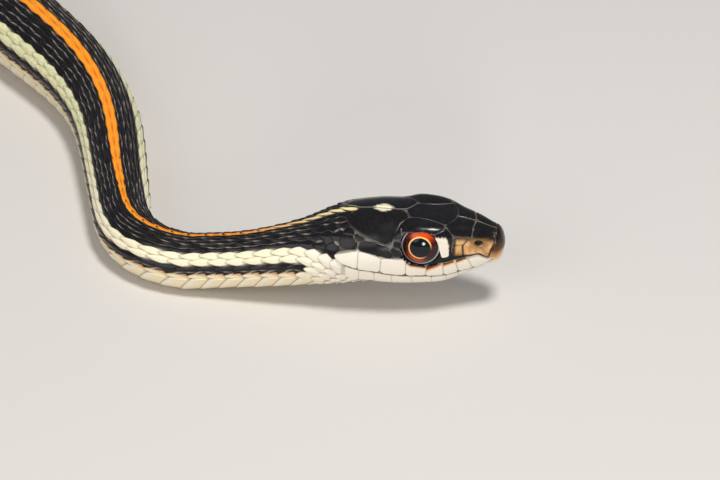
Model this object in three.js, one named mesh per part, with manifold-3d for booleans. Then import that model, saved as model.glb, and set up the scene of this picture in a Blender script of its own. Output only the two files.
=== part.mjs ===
// Ribbon snake, a slender kind of garter snake, lying on the ground with its head raised.
// Millimetres, +Z up, snout towards +X, the belly on the plane z = 0.
//
// A distance called s runs in plan along the middle of the animal, from the snout tip to the
// tail tip. An angle called turn runs round a section of it: 0 is the middle of the back,
// a quarter turn is the animal's right side and half a turn is the middle of the belly.

import * as THREE from 'three';
import { mergeVertices } from 'three/addons/utils/BufferGeometryUtils.js';
import Module from 'manifold-3d';

const wasm = await Module();
wasm.setup();

// Lengths along the animal
const totalLength = 600;
const headEnd = 17.3;
const neckEnd = 60;
const trunkCuts = [98, 136, 196, 256, 330, 392];
const vent = 425;
const tailCut = 505;
const cutWidth = 0.3;

// Where the snout tip is, and the direction from it to the nape
const snoutPlace = new THREE.Vector2(41.21, -38.85);
const napeHeading = 172.5;

// Each bend turns the body by so many degrees, to the left when positive, over a length of it
const bends = [
  { at: 14, over: 10, turn: 6 },
  { at: 24, over: 10, turn: -7 },
  { at: 38.5, over: 15.5, turn: -74 },
  { at: 66, over: 24, turn: 30 },
  { at: 96, over: 28, turn: 18 },
  { at: 136, over: 76, turn: -158 },
  { at: 184, over: 50, turn: -4 },
  { at: 256, over: 92, turn: 199 },
  { at: 322, over: 60, turn: -16 },
  { at: 402, over: 92, turn: 122 },
  { at: 464, over: 56, turn: -30 },
  { at: 520, over: 56, turn: 46 },
  { at: 574, over: 50, turn: -50 },
];

// Head and neck, carried clear of the ground: half width, heights of the top and the underside,
// and how square the section is above and below its widest level, where 2 is an ellipse
const raised = [
  { s: 1.2, wide: 1.7, top: 9.65, under: 5.35, squareTop: 2.4, squareUnder: 2.4 },
  { s: 2.9, wide: 2.35, top: 10.3, under: 4.6, squareTop: 2.9, squareUnder: 2.6 },
  { s: 4.2, wide: 2.75, top: 10.64, under: 3.98, squareTop: 3.2, squareUnder: 2.6 },
  { s: 6, wide: 3.45, top: 10.9, under: 3.28, squareTop: 4.3, squareUnder: 2.6 },
  { s: 8.3, wide: 3.95, top: 11.05, under: 3.04, squareTop: 3.9, squareUnder: 2.7 },
  { s: 10.2, wide: 4.35, top: 11.1, under: 3.06, squareTop: 2.6, squareUnder: 2.8 },
  { s: 13, wide: 4.6, top: 11.05, under: 3.08, squareTop: 2.1, squareUnder: 2.6 },
  { s: 15.5, wide: 4.6, top: 10.7, under: 2.75, squareTop: 2, squareUnder: 2.4 },
  { s: 17.4, wide: 4.35, top: 10.2, under: 2.3, squareTop: 2, squareUnder: 2.3 },
  { s: 20.5, wide: 3.8, top: 8.7, under: 1.76, squareTop: 2, squareUnder: 2.1 },
  { s: 24.3, wide: 3.35, top: 7.4, under: 1.2, squareTop: 2, squareUnder: 2.1 },
  { s: 28, wide: 3.12, top: 6.35, under: 0.68, squareTop: 2.1, squareUnder: 2.1 },
  { s: 33, wide: 3.07, top: 5.605, under: -0.177, squareTop: 2.1, squareUnder: 2.1 },
];
const snoutRound = 1.2;
const snoutHeight = 7.6;

// Thickness of the body from where it lies on the ground
const girths = [
  { s: 33, girth: 5.9 },
  { s: 45, girth: 6.2 },
  { s: 55, girth: 6.9 },
  { s: 65, girth: 7.6 },
  { s: 75, girth: 8.8 },
  { s: 88, girth: 9.6 },
  { s: 110, girth: 10.3 },
  { s: 200, girth: 10.8 },
  { s: 300, girth: 10.8 },
  { s: 380, girth: 10 },
  { s: 425, girth: 8.6 },
  { s: 445, girth: 7.3 },
  { s: 500, girth: 4.8 },
  { s: 560, girth: 2.4 },
  { s: 600, girth: 0.9 },
];
const bodyWide = 0.52;
const bodyTop = 0.95;
const bodyUnder = -0.03;
const bodySquare = 2.1;
const tailTipRound = 0.6;

// The eye is a lens set into the side of the head, its long axes along and up the head
const eye = { s: 8.3, out: 3.15, height: 8.7, radius: 1.96, thick: 1.1, clearance: 0.25 };

// The mouth line rises at the lip's front and at its corner
const mouthLine = [[1.5, 6.05], [2.6, 5.55], [4.2, 5.25], [8.4, 5.15], [11, 5.4], [13.4, 5.75], [15.2, 6.35], [16.4, 7.1]];
const jawFront = 1.5;
const jawBack = 0.2;

// Rings of points along a length of body and points round each ring
const headRings = [0.03, 0.2, 0.6, 1.2, 2, 2.9, 3.9, 5, 6, 7.1, 8.3, 9.4, 10.6, 12, 13.5, 15, 16.3, headEnd];
const tailTipRings = [tailTipRound, 0.25 * tailTipRound, 0.03];
const ringBend = 0.16;
const closestRings = 1.2;
const shortestLastStep = 0.35;
const sidesOf = { head: 28, body: 20, tail_1: 16, tail_2: 12 };
const spacingOf = { neck: 4, body: 5 };

// Skin colours by the length of body they show on
const colours = { head: 0x1d1a18, jaw: 0xe9e0bd, eye: 0x5a1a08, body: 0x23201c };
const roughnesses = { head: 0.35, jaw: 0.4, eye: 0.05, body: 0.4 };

function easeTurn(part) {
  const inside = THREE.MathUtils.clamp(part, 0, 1);
  return inside * inside * (3 - 2 * inside);
}

function heading(s) {
  let degrees = napeHeading;
  for (const bend of bends) {
    degrees += bend.turn * easeTurn((s - bend.at) / bend.over + 0.5);
  }
  return THREE.MathUtils.degToRad(degrees);
}

const walkStep = 0.25;
const walked = [snoutPlace.clone()];
for (let s = walkStep / 2; s < totalLength; s += walkStep) {
  const stride = new THREE.Vector2(Math.cos(heading(s)), Math.sin(heading(s)));
  walked.push(walked[walked.length - 1].clone().addScaledVector(stride, walkStep));
}

function middle(s) {
  const place = THREE.MathUtils.clamp(s / walkStep, 0, walked.length - 1.001);
  const index = Math.floor(place);
  return walked[index].clone().lerp(walked[index + 1], place - index);
}

// A smooth curve through one named value of a list of stations
function along(stations, s, name) {
  const last = stations.length - 1;
  if (s <= stations[0].s) return stations[0][name];
  if (s >= stations[last].s) return stations[last][name];
  const i = stations.findIndex((station) => station.s > s) - 1;
  const slope = (from, to) => (stations[to][name] - stations[from][name]) / (stations[to].s - stations[from].s);
  const here = slope(i, i + 1);
  const bounded = (other) => (other * here <= 0 ? 0 : Math.sign(here) * Math.min(Math.abs(other), Math.abs(here) * 3));
  const before = i > 0 ? bounded((slope(i - 1, i) + here) / 2) : here;
  const after = i + 1 < last ? bounded((here + slope(i + 1, i + 2)) / 2) : here;
  const length = stations[i + 1].s - stations[i].s;
  const t = (s - stations[i].s) / length;
  const from = stations[i][name];
  const to = stations[i + 1][name];
  const blend = t * t * (3 - 2 * t);
  return from + (to - from) * blend
    + length * (before * t * (1 - t) ** 2 - after * t * t * (1 - t));
}

// Half width, top, underside and squareness of the section at s
function section(s) {
  if (s > raised[raised.length - 1].s) {
    const toTip = THREE.MathUtils.clamp((totalLength - s) / tailTipRound, 0, 1);
    const girth = along(girths, s, 'girth') * Math.sqrt(1 - (1 - toTip) ** 2);
    return {
      wide: girth * bodyWide, top: girth * bodyTop, under: girth * bodyUnder,
      squareTop: bodySquare, squareUnder: bodySquare,
    };
  }
  const found = {};
  for (const name of ['wide', 'top', 'under', 'squareTop', 'squareUnder']) {
    found[name] = along(raised, s, name);
  }
  if (s < snoutRound) {
    const share = Math.sqrt(1 - (1 - s / snoutRound) ** 2);
    found.wide *= share;
    found.top = snoutHeight + (found.top - snoutHeight) * share;
    found.under = snoutHeight + (found.under - snoutHeight) * share;
  }
  return found;
}

// A point of the surface, never lower than the ground
function skinPoint(s, turn) {
  const shape = section(s);
  const level = (shape.top + shape.under) / 2;
  const upper = Math.cos(turn) >= 0;
  const power = 2 / (upper ? shape.squareTop : shape.squareUnder);
  const out = shape.wide * Math.sign(Math.sin(turn)) * Math.abs(Math.sin(turn)) ** power;
  const up = (shape.top - level) * Math.sign(Math.cos(turn)) * Math.abs(Math.cos(turn)) ** power;
  const place = middle(s);
  const angle = heading(s);
  return new THREE.Vector3(
    place.x - Math.sin(angle) * out,
    place.y + Math.cos(angle) * out,
    Math.max(level + up, 0),
  );
}

// Where the rings of a length of body go: closer together where it bends or tapers fast
function ringPlaces(from, to, spacing) {
  const places = [from];
  while (places[places.length - 1] < to) {
    const s = places[places.length - 1];
    const bending = Math.abs(heading(s + 1) - heading(s - 1)) / 2;
    const next = s + Math.min(spacing, THREE.MathUtils.clamp(ringBend / (bending + 1e-6), closestRings, spacing));
    places.push(next > to - shortestLastStep * (next - s) ? to : next);
  }
  return places;
}

// A closed length of the animal with a ring of points at each place
function bodyLength(places, sides) {
  const points = [];
  const faces = [];
  for (const s of places) {
    for (let side = 0; side < sides; side += 1) {
      points.push(skinPoint(s, ((side + 0.5) / sides) * 2 * Math.PI));
    }
  }
  for (let ring = 0; ring + 1 < places.length; ring += 1) {
    for (let side = 0; side < sides; side += 1) {
      const a = ring * sides + side;
      const b = ring * sides + ((side + 1) % sides);
      faces.push(a, b + sides, b, a, a + sides, b + sides);
    }
  }
  for (const ring of [0, places.length - 1]) {
    const first = ring * sides;
    const centre = new THREE.Vector3();
    for (let side = 0; side < sides; side += 1) centre.addScaledVector(points[first + side], 1 / sides);
    points.push(centre);
    for (let side = 0; side < sides; side += 1) {
      const a = first + side;
      const b = first + ((side + 1) % sides);
      if (ring === 0) faces.push(a, b, points.length - 1);
      else faces.push(b, a, points.length - 1);
    }
  }
  const geometry = new THREE.BufferGeometry();
  geometry.setAttribute('position', new THREE.Float32BufferAttribute(points.flatMap((p) => p.toArray()), 3));
  geometry.setIndex(faces);
  return geometry;
}

// Boolean cuts
function solidOf(geometry) {
  const bare = geometry.clone();
  bare.deleteAttribute('normal');
  bare.deleteAttribute('uv');
  const merged = mergeVertices(bare, 1e-4);
  return new wasm.Manifold(new wasm.Mesh({
    numProp: 3,
    vertProperties: new Float32Array(merged.attributes.position.array),
    triVerts: new Uint32Array(merged.index.array),
  }));
}

function geometryOf(solid) {
  const mesh = solid.getMesh();
  const geometry = new THREE.BufferGeometry();
  geometry.setAttribute('position', new THREE.Float32BufferAttribute(Array.from(mesh.vertProperties), 3));
  geometry.setIndex(Array.from(mesh.triVerts));
  return geometry;
}

// Turns a shape drawn along the head's own axis, outwards and up into the place of the head
function onHead(geometry) {
  const angle = THREE.MathUtils.degToRad(napeHeading);
  geometry.rotateZ(angle);
  geometry.translate(snoutPlace.x, snoutPlace.y, 0);
  return geometry;
}

// The block below the mouth line, which parts the lower jaw from the head. lift widens it.
function belowMouth(lift, rear) {
  const depth = 14;
  const outline = new THREE.Shape();
  outline.moveTo(jawFront - lift, 0);
  outline.lineTo(jawFront - lift, mouthLine[0][1] + lift);
  for (const [s, height] of mouthLine) outline.lineTo(s, height + lift);
  outline.lineTo(rear, mouthLine[mouthLine.length - 1][1] + lift);
  outline.lineTo(rear, 0);
  const block = new THREE.ExtrudeGeometry(outline, { depth, bevelEnabled: false });
  block.rotateX(Math.PI / 2);
  block.translate(0, depth / 2, 0);
  return onHead(block);
}

function eyeball(side, swell) {
  const shape = new THREE.SphereGeometry(1, 20, 14);
  shape.scale(eye.radius + swell, eye.thick + swell, eye.radius + swell);
  shape.translate(eye.s, side * eye.out, eye.height);
  return onHead(shape);
}

const part = new THREE.Group();

function addPiece(name, geometry, colour, roughness) {
  const material = new THREE.MeshStandardMaterial({ color: colour, roughness, metalness: 0 });
  const mesh = new THREE.Mesh(geometry, material);
  mesh.name = name;
  part.add(mesh);
}

// Head, lower jaw and eyes
const wholeHead = solidOf(bodyLength(headRings, sidesOf.head));
const jawEnd = mouthLine[mouthLine.length - 1][0] + jawBack;
let skull = wholeHead.subtract(solidOf(belowMouth(cutWidth, jawEnd + cutWidth)));
for (const side of [1, -1]) skull = skull.subtract(solidOf(eyeball(side, eye.clearance)));
addPiece('head', geometryOf(skull), colours.head, roughnesses.head);
addPiece('lower_jaw', geometryOf(wholeHead.intersect(solidOf(belowMouth(0, jawEnd)))), colours.jaw, roughnesses.jaw);
addPiece('eye_right', eyeball(1, 0), colours.eye, roughnesses.eye);
addPiece('eye_left', eyeball(-1, 0), colours.eye, roughnesses.eye);

// Neck, trunk and tail, parted by thin cuts
const lengths = [{ name: 'neck', from: headEnd, to: neckEnd }];
const trunkEnds = [neckEnd, ...trunkCuts, vent];
for (let i = 0; i + 1 < trunkEnds.length; i += 1) {
  lengths.push({ name: `trunk_${i + 1}`, from: trunkEnds[i], to: trunkEnds[i + 1] });
}
lengths.push({ name: 'tail_1', from: vent, to: tailCut });
lengths.push({ name: 'tail_2', from: tailCut, to: totalLength });
for (const { name, from, to } of lengths) {
  const places = ringPlaces(from + cutWidth, to, spacingOf[name] ?? spacingOf.body);
  if (to === totalLength) places.splice(-1, 1, ...tailTipRings.map((short) => to - short));
  addPiece(name, bodyLength(places, sidesOf[name] ?? sidesOf.body), colours.body, roughnesses.body);
}

export default part;
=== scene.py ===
"""Looks of a ribbon snake that lies on the ground with its head raised.

Lengths are in millimetres until a mesh is made. s runs in plan along the middle of the animal,
from the snout tip to the tail tip. An angle runs round a section of it in degrees: 0 is straight
up, 90 the animal's right side and 180 straight down. A round angle is measured in the same way
from the middle of the back, so it turns with the skin where the neck is twisted.
"""
import math

import bpy
import numpy as np
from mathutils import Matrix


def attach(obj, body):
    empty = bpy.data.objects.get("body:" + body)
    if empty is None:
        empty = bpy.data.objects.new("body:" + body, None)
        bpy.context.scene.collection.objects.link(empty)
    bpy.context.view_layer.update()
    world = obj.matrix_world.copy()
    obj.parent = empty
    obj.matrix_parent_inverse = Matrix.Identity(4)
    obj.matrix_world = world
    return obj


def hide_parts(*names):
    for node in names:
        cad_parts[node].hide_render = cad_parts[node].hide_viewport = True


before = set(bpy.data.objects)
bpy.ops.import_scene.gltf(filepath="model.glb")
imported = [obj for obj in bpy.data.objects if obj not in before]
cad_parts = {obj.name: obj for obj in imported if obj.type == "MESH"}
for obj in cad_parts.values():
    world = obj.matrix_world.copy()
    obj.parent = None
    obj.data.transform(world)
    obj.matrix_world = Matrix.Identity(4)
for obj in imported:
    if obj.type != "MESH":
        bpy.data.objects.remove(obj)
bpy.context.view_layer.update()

MM = 0.001
rng = np.random.default_rng(7)

# Lengths along the animal: in all, to the vent, to the end of each piece of scales on the trunk,
# to the last stretch of the tail and to where the last scale begins
TOTAL_LENGTH = 600
VENT = 425
TRUNK_PARTS = [60, 110, 175, 240, 305, 370, 425]
TIP_START = 505
SCALES_END = 599
# As far as here the scales have finer meshes, as the photo shows them
FINE_END = 110

# Where the snout tip is, and the direction from it to the nape
SNOUT_PLACE = (41.21, -38.85)
NAPE_HEADING = 172.5

# Each bend: the s of its middle, the length that it takes and the degrees that it turns
BENDS = [
    (14, 10, 6), (24, 10, -7), (38.5, 15.5, -74), (66, 24, 30), (96, 28, 18), (136, 76, -158),
    (184, 50, -4), (256, 92, 199), (322, 60, -16), (402, 92, 122), (464, 56, -30), (520, 56, 46),
    (574, 50, -50),
]

# Head and neck: s, half width, top, underside, squareness above and below the widest level
RAISED = np.array([
    (1.2, 1.7, 9.65, 5.35, 2.4, 2.4),
    (2.9, 2.35, 10.3, 4.6, 2.9, 2.6),
    (4.2, 2.75, 10.64, 3.98, 3.2, 2.6),
    (6, 3.45, 10.9, 3.28, 4.3, 2.6),
    (8.3, 3.95, 11.05, 3.04, 3.9, 2.7),
    (10.2, 4.35, 11.1, 3.06, 2.6, 2.8),
    (13, 4.6, 11.05, 3.08, 2.1, 2.6),
    (15.5, 4.6, 10.7, 2.75, 2, 2.4),
    (17.4, 4.35, 10.2, 2.3, 2, 2.3),
    (20.5, 3.8, 8.7, 1.76, 2, 2.1),
    (24.3, 3.35, 7.4, 1.2, 2, 2.1),
    (28, 3.12, 6.35, 0.68, 2.1, 2.1),
    (33, 3.07, 5.605, -0.177, 2.1, 2.1),
])
SNOUT_ROUND = 1.2
SNOUT_HEIGHT = 7.6

# Thickness of the body where it lies on the ground, by s
GIRTHS = np.array([
    (33, 5.9), (45, 6.2), (55, 6.9), (65, 7.6), (75, 8.8), (88, 9.6), (110, 10.3), (200, 10.8),
    (300, 10.8), (380, 10), (425, 8.6), (445, 7.3), (500, 4.8), (560, 2.4), (600, 0.9),
])
BODY_WIDE = 0.52
BODY_TOP = 0.95
BODY_UNDER = -0.03
BODY_SQUARE = 2.1
TAIL_TIP_ROUND = 0.6

# How far the bare skin lies inside the tips of the scales
SKIN_DEPTH = 0.25

# Twist of the skin by s: the back turns away from the camera where the neck lies on its side
TWIST = np.array([
    (14, 0), (17.5, -5), (19.6, -11), (21.8, -16), (24.7, -20), (31, -23), (36.5, -17), (41, -7),
    (50, 0), (600, 0),
])
# Share of the way round that the scale rows take, smaller where the belly is pressed flat
ROW_SPREAD = np.array([(30, 1), (50, 0.84), (120, 0.86), (425, 0.86), (500, 0.95)])
# Length of a scale row step by s
STEPS = np.array([
    (13, 1.05), (18, 1.2), (21.5, 1.75), (30, 1.9), (42, 2.05), (55, 2.45), (75, 2.5), (100, 2.6),
    (250, 2.75), (425, 2.3), (500, 1.9), (600, 1.1),
])
# Width in degrees of the scale rows: the middle row of the back, then each row down to the belly
ROW_WIDTHS = [11.2, 11.2, 10.8, 10.8, 11.0, 11.6, 13.4, 13.8, 14.4, 17.0]


def ease(share):
    inside = np.clip(share, 0, 1)
    return inside * inside * (3 - 2 * inside)


def heading(s):
    degrees = NAPE_HEADING + 0 * np.asarray(s, float)
    for middle, over, turn in BENDS:
        degrees = degrees + turn * ease((s - middle) / over + 0.5)
    return np.radians(degrees)


WALK_STEP = 0.25
walk = np.arange(0, TOTAL_LENGTH + WALK_STEP, WALK_STEP)
strides = heading(walk[:-1] + WALK_STEP / 2)
walk_x = SNOUT_PLACE[0] + np.concatenate([[0], np.cumsum(np.cos(strides) * WALK_STEP)])
walk_y = SNOUT_PLACE[1] + np.concatenate([[0], np.cumsum(np.sin(strides) * WALK_STEP)])


def smooth_through(table, column, s):
    """A smooth curve through one column of a table, with no overshoot."""
    x = table[:, 0]
    y = table[:, column]
    s = np.clip(s, x[0], x[-1])
    slopes = np.diff(y) / np.diff(x)
    i = np.clip(np.searchsorted(x, s, side="right") - 1, 0, len(x) - 2)
    here = slopes[i]

    def bounded(other):
        return np.where(other * here <= 0, 0, np.sign(here) * np.minimum(abs(other), abs(here) * 3))

    before = np.where(i > 0, bounded((slopes[np.maximum(i - 1, 0)] + here) / 2), here)
    next_slope = slopes[np.minimum(i + 1, len(slopes) - 1)]
    after = np.where(i + 2 < len(x), bounded((here + next_slope) / 2), here)
    length = x[i + 1] - x[i]
    t = (s - x[i]) / length
    bend = before * t * (1 - t) ** 2 - after * t * t * (1 - t)
    return y[i] + (y[i + 1] - y[i]) * ease(t) + length * bend


def section(s):
    """Half width, top, underside and squareness above and below of the section at s."""
    s = np.asarray(s, float)
    raised = [smooth_through(RAISED, column, s) for column in range(1, 6)]
    to_tip = np.clip((TOTAL_LENGTH - s) / TAIL_TIP_ROUND, 0, 1)
    girth = smooth_through(GIRTHS, 1, s) * np.sqrt(np.maximum(1 - (1 - to_tip) ** 2, 0))
    square = BODY_SQUARE + 0 * girth
    lying = [girth * BODY_WIDE, girth * BODY_TOP, girth * BODY_UNDER, square, square]
    wide, top, under, above, below = (np.where(s > RAISED[-1, 0], b, a) for a, b in zip(raised, lying))
    share = np.sqrt(np.maximum(1 - (1 - np.clip(s / SNOUT_ROUND, 0, 1)) ** 2, 0))
    top, under = (SNOUT_HEIGHT + (edge - SNOUT_HEIGHT) * share for edge in (top, under))
    return wide * share, top, under, above, below


def bare_surface(s, angle):
    wide, top, under, above, below = section(s)
    level = (top + under) / 2
    tall = (top - under) / 2
    sine = np.sin(np.radians(angle))
    cosine = np.cos(np.radians(angle))
    square = np.where(cosine >= 0, above, below)
    reach = ((abs(sine) / np.maximum(wide, 1e-6)) ** square
             + (abs(cosine) / np.maximum(tall, 1e-6)) ** square) ** (-1 / square)
    out = reach * sine
    way = heading(s)
    x = np.interp(s, walk, walk_x) - np.sin(way) * out
    y = np.interp(s, walk, walk_y) + np.cos(way) * out
    return np.stack([x, y, level + reach * cosine], -1)


# The lowest that anything lies, and how much higher it lies there when it's deeper in the body
GROUND_GAP = 0.02
PRESSED_RISE = 0.5
SLOPE_STEP = 1e-3


def surface(s, angle, lift=0.0):
    """A point lift above the solid's surface, never lower than the ground."""
    s, angle, lift = np.broadcast_arrays(np.asarray(s, float), np.asarray(angle, float), lift)
    place = bare_surface(s, angle)
    before = np.maximum(s - SLOPE_STEP, SLOPE_STEP / 10)
    onward = bare_surface(s + SLOPE_STEP, angle) - bare_surface(before, angle)
    around = bare_surface(s, angle + 0.1) - bare_surface(s, angle - 0.1)
    normal = np.cross(onward, around)
    normal /= np.linalg.norm(normal, axis=-1, keepdims=True) + 1e-15
    place = place + normal * lift[..., None]
    # Where the belly is pressed flat, the skin stays above the plates that cover it
    place[..., 2] = np.maximum(place[..., 2], GROUND_GAP - np.minimum(lift, 0) * PRESSED_RISE)
    return place


def read_off(table, s):
    """The second column of a table at s, in straight lines between its rows."""
    return np.interp(s, table[:, 0], table[:, 1])


def signed(angle):
    """The same angle between -180 and 180."""
    return (angle + 180) % 360 - 180


def world_angle(s, round_angle):
    return round_angle * read_off(ROW_SPREAD, s) + read_off(TWIST, s)


def round_of(s, angle):
    return (angle - read_off(TWIST, s)) / read_off(ROW_SPREAD, s)


# Materials

class Wire:
    """A socket of a material's nodes, with the arithmetic that the finishes use."""

    def __init__(self, bench, socket):
        self.bench = bench
        self.socket = socket

    def _maths(self, operation, *values):
        return self.bench.node("ShaderNodeMath", {"operation": operation}, dict(enumerate(values)))

    def __add__(self, other):
        return self._maths("ADD", self, other)

    __radd__ = __add__

    def __rsub__(self, other):
        return self._maths("SUBTRACT", other, self)

    def __mul__(self, other):
        return self._maths("MULTIPLY", self, other)

    def over(self, edge, softness):
        """0 below the edge and 1 above it, with a soft step between."""
        limits = {"Value": self, "From Min": edge - softness, "From Max": edge + softness}
        return self.bench.node("ShaderNodeMapRange", {"interpolation_type": "SMOOTHSTEP"}, limits)


class Bench:
    """One material and its nodes."""

    def __init__(self, name):
        self.material = bpy.data.materials.new(name)
        self.material.use_nodes = True
        self.tree = self.material.node_tree
        self.shader = self.tree.nodes["Principled BSDF"]

    def node(self, kind, settings=None, sockets=None, output=0):
        made = self.tree.nodes.new(kind)
        for key, value in (settings or {}).items():
            setattr(made, key, value)
        for key, value in (sockets or {}).items():
            self._feed(made.inputs[key], value)
        return Wire(self, made.outputs[output])

    def _feed(self, socket, value):
        if isinstance(value, Wire):
            self.tree.links.new(value.socket, socket)
        elif isinstance(value, tuple) and len(value) == 3:
            socket.default_value = (*value, 1)
        else:
            socket.default_value = value

    def mark(self, name):
        """A marking that the mesh carries at its points."""
        return self.node("ShaderNodeAttribute", {"attribute_name": name}, output=2)

    def noise(self, per_mm, detail=3):
        place = self.node("ShaderNodeTexCoord", output=3)
        sockets = {"Vector": place, "Scale": per_mm / MM, "Detail": detail}
        return self.node("ShaderNodeTexNoise", {}, sockets)

    def blend(self, share, first, second):
        """A colour between two colours."""
        sockets = {0: share, 6: first, 7: second}
        return self.node("ShaderNodeMix", {"data_type": "RGBA"}, sockets, output=2)

    def finish(self, bump=None, bump_depth=0.02, **values):
        for name, value in values.items():
            self._feed(self.shader.inputs[name.replace("_", " ")], value)
        if bump is not None:
            relief = {"Height": bump, "Distance": bump_depth * MM, "Strength": 1.0}
            self._feed(self.shader.inputs["Normal"], self.node("ShaderNodeBump", {}, relief))
        return self.material


def srgb(red, green, blue):
    """A colour given in 0 to 255 as it shows on a screen."""
    shares = (red / 255, green / 255, blue / 255)
    return tuple(v / 12.92 if v <= 0.04045 else ((v + 0.055) / 1.055) ** 2.4 for v in shares)


BLACK = srgb(14, 13, 14)
BLACK_WARM = srgb(38, 27, 22)
ORANGE = srgb(250, 160, 40)
ORANGE_DEEP = srgb(226, 98, 8)
YELLOW = srgb(240, 220, 158)
CREAM = srgb(240, 229, 196)
CREAM_GREEN = srgb(206, 206, 150)
LIP = srgb(237, 227, 210)
BELLY = srgb(236, 222, 186)
TAN = srgb(200, 134, 72)
TAN_PALE = srgb(236, 196, 136)
RUST = srgb(204, 84, 8)
# Pale grey of the sutures, also of the flecks and rims of the black scales, which are partly painted
# glints
SUTURE_AND_GLINT_GREY = srgb(158, 146, 134)
# Olive of the seams between pale scales, also painted shade on the front of each cream scale
SEAM_AND_SHADE_OLIVE = srgb(150, 138, 98)
GREY_SHEEN = srgb(90, 90, 100)
CREAM_DULL = srgb(205, 188, 142)
BROWN_DARK = srgb(58, 30, 14)
BROWN = srgb(96, 54, 24)
# Near black: real dark markings of the head, and painted shade in the nostril's pit and along the mouth
# line
DARK_MARK_AND_SHADE = srgb(12, 10, 10)


def scaly_finish():
    """Glossy scale skin. Each mark says how much of its colour shows over the ones before it."""
    bench = Bench("scales")
    mottle = bench.noise(2.2)
    fine = bench.noise(9, 4)
    patches = mottle.over(0.5, 0.35)
    colour = bench.blend(mottle.over(0.62, 0.18) * 0.7, BLACK, BLACK_WARM)
    colour = bench.blend(bench.mark("chance") * 0.02, colour, GREY_SHEEN)
    pale = bench.blend(bench.mark("green") * mottle.over(0.45, 0.3), CREAM, CREAM_GREEN)
    pale = bench.blend(bench.mark("belly"), pale, BELLY)
    pale = bench.blend(bench.mark("lip"), pale, LIP)
    pale = bench.blend(fine.over(0.6, 0.2) * 0.22, pale, CREAM_DULL)
    band = bench.blend(bench.mark("neckward"), ORANGE, YELLOW)
    band = bench.blend(bench.mark("spot"), band, ORANGE_DEEP)
    layers = {
        "cream": pale,
        "stripe": band,
        "tan": bench.blend(patches, TAN, TAN_PALE),
        "rust": RUST,
        "brown": bench.blend(patches, BROWN_DARK, BROWN),
        "suture_and_glint": SUTURE_AND_GLINT_GREY,
        "seam": SEAM_AND_SHADE_OLIVE,
        "dark": DARK_MARK_AND_SHADE,
    }
    for mark, over in layers.items():
        colour = bench.blend(bench.mark(mark), colour, over)
    rough = 0.17 + bench.mark("cream") * 0.12 + fine * 0.12
    return bench.finish(bump=fine, bump_depth=0.003, Base_Color=colour, Roughness=rough,
                        Coat_Weight=0.12, Coat_Roughness=0.12, Specular_IOR_Level=0.28)


# All marks that the head's plates carry
MARKS = (
    "stripe", "neckward", "spot", "cream", "green", "belly", "lip", "tan", "rust", "brown", "suture_and_glint",
    "seam", "dark", "chance",
)


# Meshes

def make_piece(name, points, faces, finish, marks, bake_map, sharp=40):
    """A mesh from points in millimetres, the faces between them and the marks at the points."""
    mesh = bpy.data.meshes.new(name)
    mesh.vertices.add(len(points))
    mesh.vertices.foreach_set("co", (np.asarray(points, float) * MM).ravel())
    faces = np.asarray(faces, np.int32)
    sides = faces.shape[1]
    mesh.loops.add(faces.size)
    mesh.loops.foreach_set("vertex_index", faces.ravel())
    mesh.polygons.add(len(faces))
    mesh.polygons.foreach_set("loop_start", np.arange(len(faces), dtype=np.int32) * sides)
    mesh.update(calc_edges=True)
    for key, values in marks.items():
        layer = mesh.attributes.new(key, "FLOAT", "POINT")
        layer.data.foreach_set("value", np.ascontiguousarray(values, np.float32))
    layer = mesh.uv_layers.new(name="OFBake")
    layer.data.foreach_set("uv", bake_map[faces.ravel()].ravel())
    mesh.validate()
    mesh.polygons.foreach_set("use_smooth", np.ones(len(mesh.polygons), bool))
    if sharp:
        mesh.set_sharp_from_angle(angle=math.radians(sharp))
    mesh.materials.append(finish)
    piece = bpy.data.objects.new(name, mesh)
    bpy.context.scene.collection.objects.link(piece)
    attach(piece, "root")
    return piece


def grid_faces(rows, columns, closed=False):
    """Quads of one grid of points. A closed grid joins its last column to its first."""
    steps = columns if closed else columns - 1
    row, column = np.meshgrid(np.arange(rows - 1), np.arange(steps), indexing="ij")
    a = (row * columns + column).ravel()
    b = (row * columns + (column + 1) % columns).ravel()
    return np.stack([a, a + columns, b + columns, b], -1)


# Where the eye sits: its middle and the way it faces
EYE_S = 8.35
EYE_OUT = 3.52
EYE_HEIGHT = 8.88
EYE_TILT = 14
EYE_RADIUS = 1.97
EYE_BULGE = 0.8


def eye_frame(side):
    """Middle of the eye and its three directions: back along the head, up its disc and out of it."""
    way = float(heading(EYE_S))
    x = float(np.interp(EYE_S, walk, walk_x))
    y = float(np.interp(EYE_S, walk, walk_y))
    along = np.array([math.cos(way), math.sin(way), 0])
    out = np.array([-math.sin(way), math.cos(way), 0]) * side
    up = np.array([0, 0, 1.0])
    middle = np.array([x, y, EYE_HEIGHT]) + out * EYE_OUT
    sine = math.sin(math.radians(EYE_TILT))
    cosine = math.cos(math.radians(EYE_TILT))
    return middle, along, up * cosine - out * sine, out * cosine + up * sine


BROW_RISE = 0.17
BROW_FROM = 4.4
BROW_TO = 11


def brow(s, angle):
    """How far the ridge over each eye stands out."""
    away = abs(angle)
    along = ease((s - BROW_FROM) / 3) * ease((BROW_TO - s) / 2)
    return BROW_RISE * along * ease((away - 18) / 22) * ease((60 - away) / 12)


SOCKET_DEPTH = 0.9
SOCKET_MARGIN = 0.02
SOCKET_REACH = 2


def press_sockets(points):
    """Pushes points that lie under the eyes into a shallow socket."""
    for side in (1, -1):
        middle, along, up, out = eye_frame(side)
        away = points - middle
        height = away @ out
        far = np.hypot(away @ along, away @ up) / (EYE_RADIUS + SOCKET_MARGIN)
        near = (far < 1.25) & (height > -SOCKET_REACH)
        push = SOCKET_DEPTH * ease((1.08 - far) / 0.12)
        points = points - np.where(near, push, 0)[:, None] * out
    return points


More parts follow.
